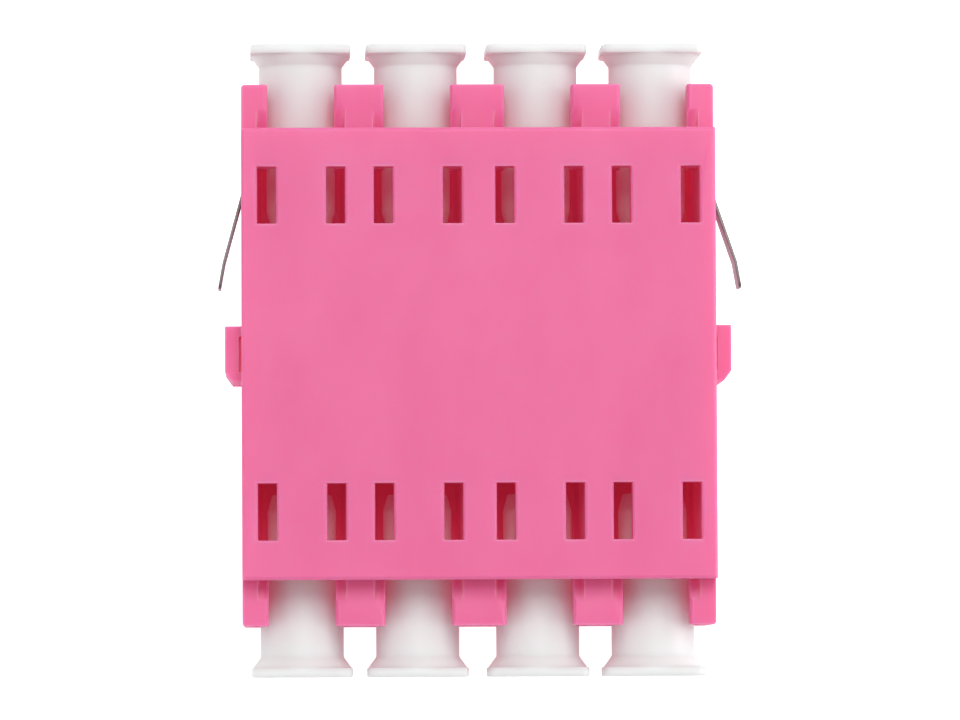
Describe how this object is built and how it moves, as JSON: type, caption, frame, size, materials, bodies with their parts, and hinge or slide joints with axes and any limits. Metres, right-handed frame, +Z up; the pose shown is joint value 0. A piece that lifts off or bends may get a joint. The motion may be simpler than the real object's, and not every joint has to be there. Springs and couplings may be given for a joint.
{
  "type": "fibre optic adapter",
  "caption": "Flat LC fibre adapter for a row of plugs at each end, with split alignment sleeves, catch windows, flange stubs, side spring clips and dust caps.",
  "frame": {"origin": "middle of the underside, below the centre of the alignment sleeves", "axes": "+X across the ports to the right, +Y along the light path towards the rear ports and the spring clips, +Z up to the side with the catch windows"},
  "size_m": [0.0283, 0.0342, 0.0093],
  "materials": {
    "body_plastic": "satin moulded",
    "holder_plastic": "satin moulded",
    "cap_plastic": "soft translucent white",
    "spring_steel": "rolled strip",
    "zirconia": "ground white ceramic"
  },
  "bodies": {
    "adapter": {"housing": "body_plastic", "cover": "body_plastic", "sleeve_holder_front_1": "holder_plastic", "sleeve_holder_rear_1": "holder_plastic", "sleeve_holder_front_2": "holder_plastic", "sleeve_holder_rear_2": "holder_plastic", "sleeve_holder_front_3": "holder_plastic", "sleeve_holder_rear_3": "holder_plastic", "sleeve_holder_front_4": "holder_plastic", "sleeve_holder_rear_4": "holder_plastic", "alignment_sleeve_1": "zirconia", "alignment_sleeve_2": "zirconia", "alignment_sleeve_3": "zirconia", "alignment_sleeve_4": "zirconia"},
    "dust_cap_front_1_body": {"dust_cap_front_1": "cap_plastic"},
    "dust_cap_rear_1_body": {"dust_cap_rear_1": "cap_plastic"},
    "dust_cap_front_2_body": {"dust_cap_front_2": "cap_plastic"},
    "dust_cap_rear_2_body": {"dust_cap_rear_2": "cap_plastic"},
    "dust_cap_front_3_body": {"dust_cap_front_3": "cap_plastic"},
    "dust_cap_rear_3_body": {"dust_cap_rear_3": "cap_plastic"},
    "dust_cap_front_4_body": {"dust_cap_front_4": "cap_plastic"},
    "dust_cap_rear_4_body": {"dust_cap_rear_4": "cap_plastic"},
    "spring_clip_left_body": {"spring_clip_left": "spring_steel"},
    "spring_clip_right_body": {"spring_clip_right": "spring_steel"}
  },
  "joints": [
    {"name": "dust_cap_front_1_slide", "type": "slide", "parent": "adapter", "child": "dust_cap_front_1_body", "axis": [0, -1, 0], "range_m": [0, 0.0085]},
    {"name": "dust_cap_rear_1_slide", "type": "slide", "parent": "adapter", "child": "dust_cap_rear_1_body", "axis": [0, 1, 0], "range_m": [0, 0.0085]},
    {"name": "dust_cap_front_2_slide", "type": "slide", "parent": "adapter", "child": "dust_cap_front_2_body", "axis": [0, -1, 0], "range_m": [0, 0.0085]},
    {"name": "dust_cap_rear_2_slide", "type": "slide", "parent": "adapter", "child": "dust_cap_rear_2_body", "axis": [0, 1, 0], "range_m": [0, 0.0085]},
    {"name": "dust_cap_front_3_slide", "type": "slide", "parent": "adapter", "child": "dust_cap_front_3_body", "axis": [0, -1, 0], "range_m": [0, 0.0085]},
    {"name": "dust_cap_rear_3_slide", "type": "slide", "parent": "adapter", "child": "dust_cap_rear_3_body", "axis": [0, 1, 0], "range_m": [0, 0.0085]},
    {"name": "dust_cap_front_4_slide", "type": "slide", "parent": "adapter", "child": "dust_cap_front_4_body", "axis": [0, -1, 0], "range_m": [0, 0.0085]},
    {"name": "dust_cap_rear_4_slide", "type": "slide", "parent": "adapter", "child": "dust_cap_rear_4_body", "axis": [0, 1, 0], "range_m": [0, 0.0085]},
    {"name": "spring_clip_left_flex", "type": "hinge", "parent": "adapter", "child": "spring_clip_left_body", "pos_m": [-0.01236, 0.0101, 0.00465], "axis": [0, 0, 1], "range_deg": [0, 11], "stiffness_Nm_per_rad": 0.03},
    {"name": "spring_clip_right_flex", "type": "hinge", "parent": "adapter", "child": "spring_clip_right_body", "pos_m": [0.01236, 0.0101, 0.00465], "axis": [0, 0, -1], "range_deg": [0, 14], "stiffness_Nm_per_rad": 0.03}
  ]
}
